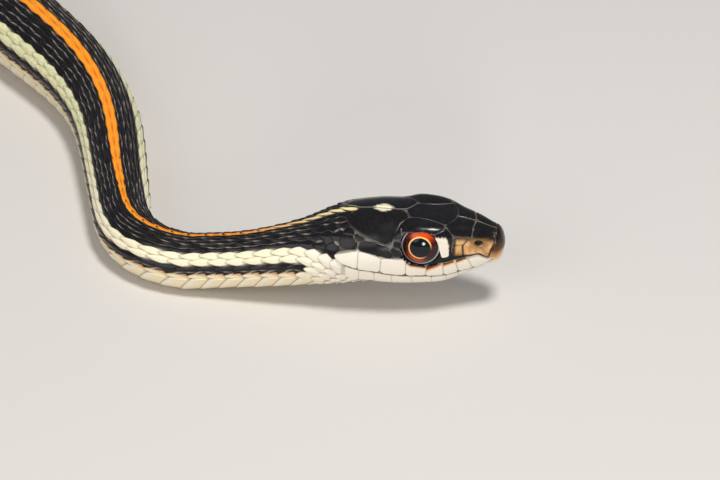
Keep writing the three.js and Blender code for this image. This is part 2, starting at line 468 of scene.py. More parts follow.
row_edges = np.concatenate([[ROW_WIDTHS[0] / 2], ROW_WIDTHS[0] / 2 + np.cumsum(ROW_WIDTHS[1:])])
SIDE_STRIPE = (row_edges[5], row_edges[7])
BELLY_EDGE = row_edges[9]
# Up to here all lower rows of the neck are cream
NECK_CREAM_END = 21
# From here on the wide belly plates run
BELLY_START = 18.5
# Where the crown plates and the lips end
CROWN_END = 15
LIPS_END = 17

# The mouth line and the top of the upper lip plates: s and angle
MOUTH = np.array([
    (0.9, 124), (1.75, 132), (3.05, 131.5), (4.45, 127), (5.9, 120.5), (7.8, 116), (9.8, 111.3),
    (12.6, 105.5), (15.1, 97.5), (16.6, 87), (17.5, 76),
])
LIP_TOP = np.array([
    (1.5, 112), (2.55, 91), (3.6, 93.5), (4.9, 94), (6.15, 93), (7.6, 98), (9.3, 92), (10.15, 82),
    (12.4, 81), (15, 69.5), (17.5, 69.5),
])

# Degrees on the head are turned to lengths with this radius where a shape is measured
CHART_RADIUS = 4.2
CHART_SCALE = np.array([1, math.radians(1) * CHART_RADIUS])
NOSTRIL = (2.5, 58)


def from_nostril(s, angle):
    """How far a place on the head is from the nostril of its side."""
    return np.hypot(s - NOSTRIL[0], (abs(angle) - NOSTRIL[1]) * CHART_SCALE[1])


# Behind the jaw the lower rows turn down to the throat
DIVE_START = 22
DIVE_LENGTH = 7
DIVE = 45


def dive(s, round_angle):
    away = abs(round_angle)
    return np.sign(round_angle) * DIVE * ease((DIVE_START - s) / DIVE_LENGTH) * ease((away - 30) / 50)


def skin_marks(s, angle):
    """Markings of the bare skin, which shows as the seams between the scales."""
    away = abs(signed(angle))
    around = abs(round_of(s, signed(angle)))
    around = around - dive(s, around)
    head = 1 - ease((s - CROWN_END) / 1.2)
    lip_top = read_off(LIP_TOP, s)
    on_stripe = (around < np.where(s < 46, 0, row_edges[0])) & (s > CROWN_END + 0.4)
    low = (around < SIDE_STRIPE[1]) | (around > BELLY_EDGE - 10) | (s < NECK_CREAM_END)
    on_side = (around > SIDE_STRIPE[0]) & low
    pale = np.where(s < LIPS_END, away > lip_top + 3 * (s < 12), on_side).astype(float)
    seamed = (away < lip_top - 30) | (s > 10.5)
    return {
        "stripe": on_stripe * 0.9,
        "neckward": 1 - ease((s - 18) / 14),
        "cream": pale,
        "seam": pale * (0.85 - 0.6 * (1 - ease((s - LIPS_END) / 5))),
        "lip": 1 - ease((s - LIPS_END) / 7),
        "suture_and_glint": (1 - pale) * (head * np.where(seamed, 0.55, 0.0) + 0.22 * (1 - head)),
        # Painted shade in the gap along the mouth line
        "dark": np.where((s < LIPS_END) & (abs(away - read_off(MOUTH, s)) < 3), 0.85, 0.0),
        "green": ease((s - 40) / 20),
        "belly": (around > BELLY_EDGE - 12).astype(float),
    }


scales = scaly_finish()

SKIN_SIDES = 96
LIP_SKIN_RAISE = 0.62
NOSTRIL_SKIN_SINK = 0.4


def skin_rings():
    """Where the rings of the skin lie along the animal: close on the head and at both tips."""
    snout = SNOUT_ROUND * (1 - np.cos(np.linspace(0.02, math.pi / 2, 12)))
    tip = TOTAL_LENGTH - np.array([0.7, 0.4, 0.15, 0.03])
    return np.concatenate([
        snout, np.arange(1.3, 18, 0.14), np.arange(18, 60, 0.5), np.arange(60, SCALES_END, 1.25), tip,
    ])


def skin_depth(s, away):
    """How deep the skin lies: less under the lips and the chin, and more round the nostril's pit."""
    depth = -SKIN_DEPTH * np.clip(section(s)[0] / 1.2, 0.25, 1)
    lips = ease((away - read_off(LIP_TOP, s) + 1) / 5) * ease((LIPS_END - s) / 1.5)
    below_lips = away - read_off(MOUTH, s) - 21
    lips = lips * (1 - ease(s - 12.4) * ease(below_lips / 6))
    pit = 1 - ease((from_nostril(s, away) - 0.45) / 0.3)
    return depth * (1 - LIP_SKIN_RAISE * lips) - NOSTRIL_SKIN_SINK * pit


def make_skin():
    rings = skin_rings()
    s, angle = np.meshgrid(rings, np.arange(SKIN_SIDES) * 360 / SKIN_SIDES, indexing="ij")
    depth = skin_depth(s, abs(signed(angle)))
    points = press_sockets(surface(s, angle, depth + brow(s, signed(angle))).reshape(-1, 3))
    faces = grid_faces(len(rings), SKIN_SIDES, closed=True)
    marks = skin_marks(s.ravel(), angle.ravel())
    bake_map = np.stack([s.ravel() / TOTAL_LENGTH, angle.ravel() / 360], -1)
    skin = make_piece("skin", points, faces, scales, marks, bake_map, sharp=0)
    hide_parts("head", "lower_jaw", "neck", "trunk_1", "trunk_2", "trunk_3", "trunk_4",
                "trunk_5", "trunk_6", "trunk_7", "tail_1", "tail_2")


# Scales of the body

# One scale: v runs across it and u along it, from -1 to 1, with the tip at 1
ACROSS_FINE = np.array([-1, -0.95, -0.8, -0.5, -0.16, 0, 0.16, 0.5, 0.8, 0.95, 1])
ALONG_FINE = np.array([-1, -0.7, -0.4, -0.1, 0.2, 0.45, 0.66, 0.82, 0.93, 1])
ACROSS_PLAIN = np.array([-1, -0.9, -0.5, 0, 0.5, 0.9, 1])
ALONG_PLAIN = np.array([-1, -0.5, 0, 0.4, 0.7, 0.9, 1])
# Half length and shift of a scale, in row steps, and where along it the scale is widest
SCALE_REACH = 0.69
SCALE_BACK = 0.07
WIDEST_AT = -0.15
# Height of its edges, how deep its front lies, how high its keel stands, and how much its height
# and its width vary
WALL = 0.1
FRONT_SUNK = 0.22
KEEL = 0.035
LIFT_SPREAD = 0.006
SLIM_SPREAD = 0.12
BAKE_PATCH = 0.003


def scale_outline(u):
    front = 1 - 0.45 * (np.maximum(WIDEST_AT - u, 0) / (1 + WIDEST_AT)) ** 2
    rear = (1 - (np.maximum(np.minimum(u, 0.985) - WIDEST_AT, 0) / (1 - WIDEST_AT)) ** 1.5) ** 0.85
    return front * rear


def scale_lift(u, v, keel):
    """Height of a scale above the solid: its front is tucked under and its rear edge stands proud."""
    rise = -FRONT_SUNK * (1 - u) / 2
    bevel = 0.075 * abs(v) ** 3.5 + 0.03 * np.maximum(u, 0) ** 6
    wall = WALL * ((abs(v) > 0.99) | (u > 0.99))
    ridge = KEEL * keel * np.maximum(1 - abs(v) / 0.2, 0) * ease((u + 0.9) / 0.5) * ease((1 - u) / 0.3)
    return rise - bevel - wall + ridge


row_middles = np.concatenate([[0], row_edges[:-1] + np.array(ROW_WIDTHS[1:]) / 2])

# The neck scales start behind the crown plates: round angle and s
NAPE_START = np.array([
    (0, 15.7), (11.2, 16.0), (22, 16.3), (33, 16.3), (44, 16.8), (55.2, 17.2), (67.7, 17.3),
    (81.3, 15.4), (95, 13.7), (114, 13.7), (120, 17.2), (140, 17.2),
])
COLUMNS_START = 13
COLUMNS_END = 598.5
columns_s = [COLUMNS_START]
while columns_s[-1] < COLUMNS_END:
    columns_s.append(columns_s[-1] + read_off(STEPS, columns_s[-1]))
columns_s = np.array(columns_s)

# How far out on a scale its pale flecks, partly painted glints, begin, and the share of scales that has
# none
FLECK_AND_GLINT_FROM = 0.55
PLAIN_SHARE = 0.4


def stripe_of(row, s, u, v, inner):
    """The stripe along the back: the whole middle row and the inner part of the rows beside it."""
    if row == 0:
        dark_tips = ease((s - 23) / 4) * ease((48 - s) / 5) * ease((u - 0.55) / 0.25)
        half_wide = 0.5 + 0.6 * ease((s - 18) / 10)
        return (1 - dark_tips) * (1 - ease((abs(v) - half_wide) / 0.14))
    if abs(row) == 1:
        narrow = 0.8 * (1 - ease((s - 42) / 14))
        return ease((inner - 0.25 - narrow + 0.45 * np.cos(2.4 * u)) / 0.1)
    return 0.0


def spot_of(row, stripe, u, v, inner):
    """Deep orange in the middle of the stripe and a little along its edges."""
    if row == 0:
        return stripe * np.exp(-((u - 0.25) / 0.5) ** 2 - (v / 0.4) ** 2)
    return 0.5 * stripe * (1 - ease((inner - 0.2) / 0.3))


def body_marks(row, s, turned, u, v):
    """Markings of the body scales of one row, counted from the middle of the back."""
    inner = -v * np.sign(row)
    by_the_jaw = s.mean(axis=(1, 2), keepdims=True) < NECK_CREAM_END
    neckward = 1 - ease((s - 17) / 13)
    stripe = stripe_of(row, s, u, v, inner)
    cream = float(abs(row) in (6, 7, 10))
    edge = 0.0
    if abs(row) == 8:
        cream = by_the_jaw * 1.0
    if abs(row) == 9:
        low = ease((-inner + 0.35 + 0.6 * u) / 0.14)
        cream = np.where(by_the_jaw, 1, low)
        edge = np.where(by_the_jaw, 0, low * (1 - ease((-inner + 0.17 + 0.6 * u) / 0.24)))
    rim = np.maximum(ease((abs(v) - 0.78) / 0.2), ease((u - 0.8) / 0.18))
    # The front of each scale, where the tip of the scale before lies over it: painted shade, carried by
    # the seam mark
    root = 1 - ease((u + 0.75) / 0.3)
    # Pale flecks at the sides of the black scales: partly real skin flecks, partly painted glints
    has_fleck_and_glint = rng.random(s.shape[0])[:, None, None] > PLAIN_SHARE
    fleck_and_glint = has_fleck_and_glint * ease((abs(v) - FLECK_AND_GLINT_FROM) / 0.2) * np.exp(-((u - 0.1) / 0.22) ** 2)
    return {
        "stripe": stripe,
        "neckward": neckward,
        "spot": spot_of(row, stripe, u, v, inner) * (1 - neckward),
        "cream": cream,
        "green": ease((s - 40) / 20) * (abs(turned) < BELLY_EDGE),
        "belly": 0.7 * (abs(row) == 9),
        "lip": 1 - ease((s - LIPS_END) / 7),
        "tan": edge * 0.9,
        "rust": edge * 0.35,
        # Pale rims and flecks on the black scales: partly real skin flecks, partly painted glints
        "suture_and_glint": (1 - cream) * (1 - stripe) * np.maximum(0.2 * rim, fleck_and_glint),
        # Seams of the cream scales: real dark edges, with painted shade on the front of each scale
        "seam": np.clip(rim * 0.75 + 0.5 * root, 0, 1) * cream + 0.3 * rim * stripe * neckward,
    }


def join_scales(name, s_at, level, s_range, points, marks, patch):
    """One piece of scales, each a grid of points with its own small patch of the bake map."""
    shape = points.shape[:3]
    grid_size = shape[1] * shape[2]
    faces = grid_faces(*shape[1:]) + np.arange(shape[0])[:, None, None] * grid_size
    root = np.stack([(s_at - s_range[0]) / (s_range[1] - s_range[0]), level], -1)[:, None, None]
    bake_map = (root + patch).reshape(-1, 2)
    marks = {key: np.broadcast_to(values, shape).ravel() for key, values in marks.items()}
    piece = make_piece(name, points.reshape(-1, 3), faces.reshape(-1, 4), scales, marks, bake_map)


def lay_scales(name, s_at, round_at, half_wide, row_of, s_range, fine):
    """Scales at the given places: s, round angle, half width in degrees and row of each."""
    across = ACROSS_FINE if fine else ACROSS_PLAIN
    u, v = np.meshgrid(ALONG_FINE if fine else ALONG_PLAIN, across, indexing="ij")
    count = len(s_at)
    # Sets one value for each scale against the grid of points of a scale
    each = (slice(None), None, None)
    half_wide = half_wide * (1 - SLIM_SPREAD * rng.random(count))
    s = s_at[each] + read_off(STEPS, s_at)[each] * (SCALE_REACH * np.minimum(u, 0.99) - SCALE_BACK)
    turned = round_at[each] + half_wide[each] * (scale_outline(u) * v)
    lift = scale_lift(u, v, np.where(abs(row_of) > 8, 0.0, 1.0)[each])
    lift = lift + rng.normal(0, LIFT_SPREAD, count)[each]
    points = surface(s, world_angle(s, turned + dive(s, turned)), lift)
    marks = {}
    for row in sorted(set(row_of)):
        here = row_of == row
        for key, values in body_marks(row, s[here], turned[here], u, v).items():
            marks.setdefault(key, np.zeros(s.shape))[here] = values
    marks["chance"] = rng.random(count)[each]
    patch = np.stack([u, v], -1) * BAKE_PATCH / 2
    join_scales(name, s_at, (round_at + 180) / 360, s_range, points, marks, patch)


# Scale rows: round angle, half width and the row of the body whose markings it has
ROW_OVERLAP = 0.7
BODY_ROWS = [(row_middles[i], ROW_WIDTHS[i] * ROW_OVERLAP, i) for i in range(10)]
THROAT_ROW = (row_middles[9] + 15, 9.0, 10)
TAIL_ROWS = [
    (0, 12.5, 0), (19, 12.5, 2), (38, 12.5, 3), (56, 12.5, 4), (74, 12.5, 6), (92, 12.5, 8),
    (109, 12, 9),
]
TIP_ROWS = [(0, 18, 0), (27, 18, 3), (54, 18, 4), (80, 18, 6), (106, 15, 8)]


def make_body_scales(name, s_from, s_to, fine):
    """The scale rows of one length of the body. The tail has fewer rows."""
    layout = TIP_ROWS if s_from >= TIP_START else TAIL_ROWS if s_from >= VENT else BODY_ROWS
    if s_from == 0:
        layout = layout + [THROAT_ROW]
    rows = []
    for number, (middle, half_wide, like) in enumerate(layout):
        s_at = columns_s + 0.5 * (number % 2) * read_off(STEPS, columns_s)
        last = BELLY_START + 0.5 if like == 10 else s_to
        chosen = s_at[(s_at >= max(s_from, read_off(NAPE_START, middle))) & (s_at < last)]
        for side in (1, -1) if number else (1,):
            beside = [[middle * side], [half_wide], [like * side]]
            rows.append(np.vstack([chosen, np.tile(beside, len(chosen))]))
    lay_scales(name, *np.concatenate(rows, axis=1), (s_from, s_to), fine)


# A belly plate: half length, shift and forward sweep of its ends in row steps, and its depth
BELLY_REACH = 0.64
BELLY_BACK = 0.05
BELLY_SWEEP = 0.6
BELLY_SUNK = 0.115
BELLY_DEPTH = 0.015


def make_belly(name, s_from, s_to):
    """Wide belly plates of one length of the body, their ends swept forward."""
    across = np.concatenate([[-1], np.linspace(-0.985, 0.985, 23), [1]])
    onward = np.array([-1, -0.4, 0.2, 0.6, 0.85, 0.96, 1])
    u, v = np.meshgrid(onward, across, indexing="ij")
    s_at = columns_s[(columns_s >= s_from) & (columns_s < s_to)]
    step = read_off(STEPS, s_at)[:, None, None]
    s = s_at[:, None, None] + step * (BELLY_REACH * np.minimum(u, 0.985) - BELLY_BACK)
    s = s - BELLY_SWEEP * step * abs(v) ** 3
    edge = (BELLY_EDGE - 1 + dive(s, BELLY_EDGE)) * read_off(ROW_SPREAD, s)
    angle = edge + (360 - 2 * edge) * (v + 1) / 2 + read_off(TWIST, s)
    wall = WALL * ((abs(v) > 0.99) | (u > 0.99))
    lift = -BELLY_SUNK * (1 - ((u + 1) / 2) ** 0.8) - wall - BELLY_DEPTH
    rear = ease((u - 0.1) / 0.5)
    marks = {
        "cream": 1.0,
        "belly": 1.0,
        "seam": 0.85 * ease((u - 0.84) / 0.14),
        "lip": 0.8 * rear,
        "tan": 0.1 * (1 - rear),
        "chance": rng.random(len(s_at))[:, None, None],
    }
    level = np.full(len(s_at), 0.5)
    patch = np.stack([u * BAKE_PATCH / 2, v * 0.3], -1)
    join_scales(name, s_at, level, (s_from, s_to), surface(s, angle, lift), marks, patch)


# Head plates

PLATE_SEAM = 0.018
PALE_SEAM = 0.0
# Rings of a plate: how far in from the rim each lies, how high and how much it shows the seam, then
# the share of the way out and the bulge of the inner ones
RIM_INSETS = (0, 0.01, 0.035, 0.09)
RIM_LIFTS = (-0.04, -0.012, 0.0)
RIM_MARKS = (1, 0.9, 0.55, 0)
INNER_RINGS = (
    (0.88, 0.1), (0.76, 0.3), (0.62, 0.55), (0.48, 0.8), (0.34, 0.92), (0.2, 1.0), (0.08, 1.0),
)
PLATE_RINGS = len(RIM_INSETS) + len(INNER_RINGS)
NOSTRIL_RINGS = (0.66, 0.54, 0.42, 0.3, 0.16)
PLATE_SIDES = 64
CORNER_CUT = 0.13


def smooth_outline(corners, rounding):
    """Closed outline through the corners, its corners cut round, with many evenly spaced points."""
    points = np.array(corners, float)
    for _ in range(rounding):
        ahead = np.roll(points, -1, axis=0)
        start = points * (1 - CORNER_CUT) + ahead * CORNER_CUT
        end = points * CORNER_CUT + ahead * (1 - CORNER_CUT)
        points = np.stack([start, end], 1).reshape(-1, 2)
    closed = np.vstack([points, points[:1]])
    lengths = np.hypot(*np.diff(closed * CHART_SCALE, axis=0).T)
    travelled = np.concatenate([[0], np.cumsum(lengths)])
    wanted = np.linspace(0, travelled[-1], PLATE_SIDES + 1)[:-1]
    return np.stack([np.interp(wanted, travelled, column) for column in closed.T], -1)


def plate_points(corners, centre, height, crown, seam, wall, inner):
    """Rings of (s, angle), the lift at each, a rim mark and how far out each is from the middle."""
    outline = smooth_outline(corners, 1 if seam == PALE_SEAM else 2)
    middle = outline.mean(axis=0) if centre is None else np.array(centre, float)
    reach = np.hypot(*((outline - middle) * CHART_SCALE).T)
    shares = [np.maximum(1 - (inset + seam) / reach, 0.5) for inset in RIM_INSETS]
    lifts = [-wall, *RIM_LIFTS]
    for share, lift in INNER_RINGS:
        shares.append(np.minimum(share, shares[3]))
        lifts.append(lift * crown)
    if inner is not None:
        for i, radius in zip(range(len(shares) - len(inner), len(shares)), inner):
            shares[i] = np.minimum(shares[i - 1], radius / reach)
    shares = np.stack(shares)
    places = middle + (outline - middle) * shares[..., None]
    rims = np.array(list(RIM_MARKS) + [0.0] * (len(shares) - len(RIM_MARKS)))
    lifts = np.append(np.repeat(lifts, len(reach)), crown) + height
    rim = np.append(np.repeat(rims, len(reach)), 0.0)
    return np.vstack([places.reshape(-1, 2), middle]), lifts, rim, np.append(shares.ravel(), 0)


def plate_faces(rings, sides):
    """Triangles of rings of points and one middle point."""
    quads = grid_faces(rings, sides, closed=True)
    inner = (rings - 1) * sides + np.arange(sides)
    middle = np.full(sides, rings * sides)
    fan = np.stack([inner, middle, np.roll(inner, -1)], -1)
    return np.concatenate([quads[:, [0, 1, 2]], quads[:, [0, 2, 3]], fan])


def mirrored(corners):
    return [(s, -angle) for s, angle in corners][::-1]


# Plates of the right side of the head: corners (s, angle) and how far they bulge
CROWN = 0.02
SIDE_PLATES = {
    "internasal": ([(0.85, 0.8), (1.02, 33), (2.15, 42), (3.2, 46), (3.2, 24), (2.9, 0.8)], CROWN),
    "prefrontal": ([
        (3.0, 0.8), (3.2, 24), (3.25, 46), (3.6, 46), (5.0, 45), (5.3, 42), (5.9, 33), (5.95, 29),
        (5.05, 10), (4.95, 0.8),
    ], CROWN),
    "supraocular": ([
        (10.45, 29), (9.85, 18), (8.7, 17), (7.65, 20), (6.4, 26), (5.95, 32), (6.2, 38),
        (7.05, 46), (7.8, 44), (9.55, 46), (10.3, 46), (10.55, 35),
    ], CROWN),
    "preocular": ([
        (5.9, 33), (5.3, 41), (5.05, 52), (5.3, 66), (5.45, 82), (6.15, 83), (6.4, 68), (6.65, 55),
        (7.05, 46), (6.2, 38),
    ], 0.0),
    "loreal": ([
        (5.05, 47), (3.6, 48), (3.75, 54), (4.15, 61), (4.05, 87), (4.95, 84), (5.25, 70),
        (5.0, 58),
    ], 0.02),
    "postocular_1": ([(10.45, 29), (10.75, 39), (11.15, 50), (11.15, 56), (10.3, 56)], 0.0),
    "postocular_2": ([(11.15, 58), (10.25, 58), (10.3, 68), (11.2, 66)], 0.0),
    "postocular_3": ([(11.25, 66), (10.3, 70), (10.1, 79), (11.0, 80), (11.5, 70)], 0.0),
    "parietal": ([
        (10.3, 1), (9.75, 18), (10.45, 29), (10.75, 39), (11.2, 56), (11.35, 62), (12, 63.5),
        (13, 59), (14.05, 54), (14.75, 48), (15.5, 39), (16, 32), (16.35, 24), (16.5, 14),
        (15.75, 9), (15.1, 1),
    ], CROWN),
    "temporal_1": ([
        (14.85, 60), (14.3, 58), (13, 60.5), (12, 64.5), (11.5, 68.5), (11, 79), (11.5, 82),
        (12.55, 80), (13.6, 76), (14.85, 70.5), (15.05, 66),
    ], CROWN),
    "temporal_2": ([
        (15.45, 48), (15.2, 46.5), (14.35, 54), (14.15, 56.5), (14.95, 59), (15.35, 54),
    ], 0.01),
    "temporal_3": ([
        (17.15, 52), (16.75, 44), (15.5, 49), (15.3, 57), (15.05, 60), (15.1, 68.5), (16.3, 67),
        (16.85, 63),
    ], 0.02),
    "temporal_4": ([(16.75, 40), (16.25, 34), (15.65, 38), (15.35, 44), (15.45, 49), (16.7, 44)], 0.01),
    "lip_1": ([(3.6, 93.5), (2.55, 90), (1.5, 113), (1.15, 121), (1.75, 131), (3, 131)], 0.01),
    "lip_2": ([(4.8, 94), (3.7, 93), (3.05, 130), (4.4, 127)], 0.01),
    "lip_3": ([(6.05, 93), (4.9, 94), (4.5, 126), (5.9, 121)], 0.01),
    "lip_4": ([(7.7, 99.5), (7.5, 97.5), (6.15, 93), (5.95, 120), (7.75, 116)], 0.01),
    "lip_5": ([(9.75, 89), (9.3, 92), (7.85, 96), (7.75, 100), (7.8, 115), (9.8, 111.5)], 0.01),
    "lip_6": ([
        (12.4, 81.5), (11.5, 83), (11, 81), (10.15, 82), (9.8, 88), (9.85, 111), (12.55, 106),
    ], 0.02),
    "lip_7": ([
        (14.95, 70.5), (13.6, 76.5), (12.45, 81), (12.6, 105), (14.3, 101), (15.05, 97.5),
    ], 0.02),
    "lip_8": ([
        (17.6, 72.5), (17.25, 67.8), (16.3, 67.3), (15, 69.5), (15.1, 97), (15.7, 93.5),
        (16.55, 88), (17.3, 80),
    ], 0.02),
}
NASAL = [
    (0.98, 34), (2.15, 42), (3.25, 47), (3.75, 54), (4.15, 61), (4.05, 87), (3.35, 89), (2.55, 88),
    (2.25, 91), (1.5, 112), (1.3, 82), (0.92, 54),
]
FRONTAL_HALF = [
    (4.95, 0), (5.0, 10), (5.85, 29), (6.4, 26), (7.6, 20), (8.7, 17.5), (9.7, 18), (10.2, 0),
]
ROSTRAL = [
    (0.8, 0), (0.95, 16), (0.92, 38), (0.95, 54), (1.25, 82), (1.4, 112), (1.1, 121), (1.1, 150),
    (1.0, 180),
]
# The pale bar before the eye, and the middle and size of the pale spot on the crown
BAR = [(7.1, 49), (5.75, 48), (5.45, 60), (5.42, 82), (6.35, 83)]
CROWN_SPOT = 12.6
SPOT_SIZE = (1.0, 8)
INSIDE_SOFTNESS = 0.07


def inside(s, angle, corners):
    """1 within a convex outline of (s, angle) and 0 beyond it, soft at the edge."""
    corners = np.array(corners, float) * CHART_SCALE
    point = np.stack([s, angle], -1) * CHART_SCALE
    middle = corners.mean(axis=0)
    share = np.ones(len(point))
    for a, b in zip(corners, np.roll(corners, -1, axis=0)):
        across = np.array([b[1] - a[1], a[0] - b[0]])
        across = across / np.hypot(*across)
        if (middle - a) @ across < 0:
            across = -across
        share = np.minimum(share, ease(((point - a) @ across) / INSIDE_SOFTNESS))
    return share


def is_pale(kind):
    return "lip" in kind or kind == "chin"


def plate_marks(kind, s, angle, rim, core):
    """Markings of one head plate by place, by rim mark and by how far out on it a point is."""
    marks = dict.fromkeys(MARKS, 0.0)
    away = abs(angle)
    if kind == "parietal":
        from_spot = np.hypot((s - CROWN_SPOT) / SPOT_SIZE[0], away / SPOT_SIZE[1])
        marks["cream"] = 1 - ease((from_spot - 0.86) / 0.2)
    elif kind == "preocular":
        marks["cream"] = marks["lip"] = inside(s, away, BAR)
    elif kind == "loreal":
        marks["tan"] = (1 - ease((core - 0.78) / 0.2)) * ease((4.95 - s) / 0.3)
        marks["dark"] = ease(1 - abs(away - 60.5) / 2.2) * 0.9
        brown = np.maximum(ease((away - 78) / 5) * 0.5, ease((core - 0.45) / 0.4) * 0.6)
        marks["brown"] = np.maximum(brown, ease((57 - away) / 7) * 0.75)
    elif kind == "nasal":
        far = from_nostril(s, away)
        marks["tan"] = 1 - ease((core - 0.86) / 0.12)
        # Near black in the nostril is painted shade in its pit; the darker top of the plate is its own
        # colour
        marks["dark"] = 0.9 * np.maximum(1 - ease((far - 0.34) / 0.2), ease((52 - away) / 8))
        brown = np.maximum(ease(1.6 - far / 0.8) * 0.75, ease((away - 86) / 8) * 0.4)
        marks["brown"] = np.maximum(brown, ease((60 - away) / 9) * 0.75)
    elif kind == "rostral":
        marks["brown"] = 1 - ease((away - 80) / 40)
        marks["tan"] = ease((away - 50) / 30) * (1 - ease((away - 112) / 30))
        marks["dark"] = 0.85 * (1 - ease((away - 34) / 52))
        marks["cream"] = marks["lip"] = ease((away - 110) / 14)
    elif is_pale(kind):
        marks["cream"] = marks["lip"] = 1.0
        marks["seam"] = rim * 0.35
    if kind.startswith("lip"):
        marks.update(lip_marks(int(kind[-1]), s, away - read_off(LIP_TOP, s)))
        marks["seam"] = rim * 0.14
    crown_part = 1 - np.maximum(marks["cream"], marks["tan"])
    marks["suture_and_glint"] = ease((rim - 0.55) / 0.35) * 0.75 * crown_part
    marks["chance"] = rng.random()
    return {key: np.broadcast_to(values, len(s)) for key, values in marks.items()}


def lip_marks(number, s, below):
    """Edges of an upper lip plate, by how far below the top of the lips a point is."""
    if number == 1:
        return {"brown": 0.5 * (1 - ease((below - 2) / 5))}
    if number > 5:
        return {"dark": (1 - ease((below - 0.6) / 1.6)) * 0.75}
    if number < 5:
        # These edges slope against each other like the teeth of a saw
        below = below - 2.4 * (s - (s.min() + s.max()) / 2)
    reach = 4.5 if number < 5 else 2.5
    return {
        "tan": 1 - ease((below - reach) / 4),
        "rust": 1 - ease((below - reach + 2) / 2.5),
        "dark": (1 - ease((below - 0.5) / 3)) * 0.95,
    }


def pit_nostril(lifts, s, angle):
    """Sinks the nasal plate round the nostril and gives the pit a low rim."""
    away = from_nostril(s, angle)
    pit = -0.34 * (1 - ease((away - 0.18) / 0.34))
    return lifts + pit + 0.03 * np.exp(-((away - 0.62) / 0.14) ** 2)


CROWN_TURN = 6
CROWN_SHEAR = 0.034


def settle(places):
    """Turns the plates of the crown a little, as the head leans towards its right side."""
    s, angle = places.T
    lean = 1 - ease((s - 10) / 6)
    turned = angle + CROWN_TURN * lean * np.maximum(1 - abs(angle) / 46, 0)
    far = np.clip(-angle, 0, 20) * (1 - ease((-angle - 22) / 20))
    onward = s - CROWN_SHEAR * far * lean * ease((s - 3) / 4)
    return np.stack([np.maximum(onward, 0.6), turned], -1)


# How far each kind of plate reaches down into the skin at its rim
PLATE_WALL = 0.15
LIP_WALL = 0.05
CHIN_WALL = 0.2


def gather_plate(parts, kind, corners, crown, height=0.0, centre=None):
    """Adds the points, faces, marks and bake map of one plate to the parts."""
    seam = PALE_SEAM if is_pale(kind) else PLATE_SEAM
    wall = CHIN_WALL if kind == "chin" else LIP_WALL if is_pale(kind) else PLATE_WALL
    inner = NOSTRIL_RINGS if kind == "nasal" else None
    places, lifts, rim, core = plate_points(corners, centre, height, crown, seam, wall, inner)
    s, angle = places.T
    if kind == "nasal":
        lifts = pit_nostril(lifts, s, angle)
    lifts = lifts + brow(s, angle)
    marks = plate_marks(kind, s, angle, rim, core)
    places = settle(places)
    s, angle = places.T
    faces = plate_faces(PLATE_RINGS, PLATE_SIDES)
    # A plate that runs the other way round has its faces turned over
    if np.cross(places[0] - places[-1], places[PLATE_SIDES // 4] - places[-1]) < 0:
        faces = faces[:, ::-1]
    parts.append((surface(s, angle, lifts), faces, marks, places / np.array([30, 360]) + 0.5))


def gather_pair(parts, kind, corners, crown, height=0.0, centre=None):
    """The same plate on the right side of the head and on the left."""
    gather_plate(parts, kind, corners, crown, height, centre)
    centre = None if centre is None else (centre[0], -centre[1])
    gather_plate(parts, kind, mirrored(corners), crown, height, centre)


# Where the plates of the lower lip meet. They begin LIP_GAP below the mouth line, in degrees
UNDER_LIP = [1.35, 2.3, 3.3, 4.5, 5.7, 7.2, 9.2, 11.3, 13.2, 14.9, 16.4]
LIP_GAP = 2.2
UNDER_SUNK = -0.03
# Two pairs of chin shields and the small scales beside them: s from and to, angle from and to
CHIN_PLATES = [
    (1.7, 5.6, 157, 179.3), (5.7, 10.6, 159, 179.3), (4.9, 7.8, 144, 157.5), (7.9, 10.8, 140, 157.5),
    (10.9, 13.4, 128, 146), (10.8, 13.2, 147, 163), (10.8, 13.0, 164, 179.3), (13.1, 15.2, 163, 179.3),
    (15.3, 17.4, 160, 179.3), (17.5, 18.7, 150, 179.3),
]


def lower_lip_corners(a, b, tall):
    """A plate of the lower lip from s a to s b, so many degrees tall."""
    top = [(s, read_off(MOUTH, s) + LIP_GAP) for s in (a, (a + b) / 2, b)]
    return top + [(b, top[2][1] + tall), (a, top[0][1] + tall)]


def make_head_scales():
    parts = []
    under = []
    for kind, (corners, crown) in SIDE_PLATES.items():
        gather_pair(parts, kind, corners, crown)
    gather_pair(parts, "nasal", NASAL, 0.0, centre=NOSTRIL)
    gather_plate(parts, "frontal", FRONTAL_HALF + mirrored(FRONTAL_HALF)[1:-1], CROWN)
    for a, b in zip(UNDER_LIP, UNDER_LIP[1:]):
        corners = lower_lip_corners(a, b, 14 if a < 4 else 20)
        gather_pair(under, "under_lip", corners, 0.0, UNDER_SUNK)
    for a, b, outer, inner in CHIN_PLATES:
        corners = [(a, outer + 3), (a, inner), (b, inner), (b, outer + 1), ((a + b) / 2, outer)]
        gather_pair(under, "chin", corners, 0.0, UNDER_SUNK)
    join_plates("head_scales", parts)
    join_plates("throat_scales", under)
    join_plates("snout_scale", [rostral_plate()])


def join_plates(name, parts):
    points = np.concatenate([p[0] for p in parts])
    starts = np.concatenate([[0], np.cumsum([len(p[0]) for p in parts])])[:-1]
    faces = np.concatenate([p[1] + start for p, start in zip(parts, starts)])
    marks = {key: np.concatenate([p[2][key] for p in parts]) for key in MARKS}
    bake_map = np.concatenate([p[3] for p in parts])
    piece = make_piece(name, points, faces, scales, marks, bake_map)


# Rings of the plate at the snout tip: share of the way out and lift
ROSTRAL_RINGS = (
    (1.0, -0.15), (0.985, -0.05), (0.95, -0.01), (0.88, 0.0), (0.7, 0.01), (0.45, 0.015), (0.2, 0.015),
    (0.04, 0.015),
)
ROSTRAL_SIDES = 72
TIP_S = 0.002


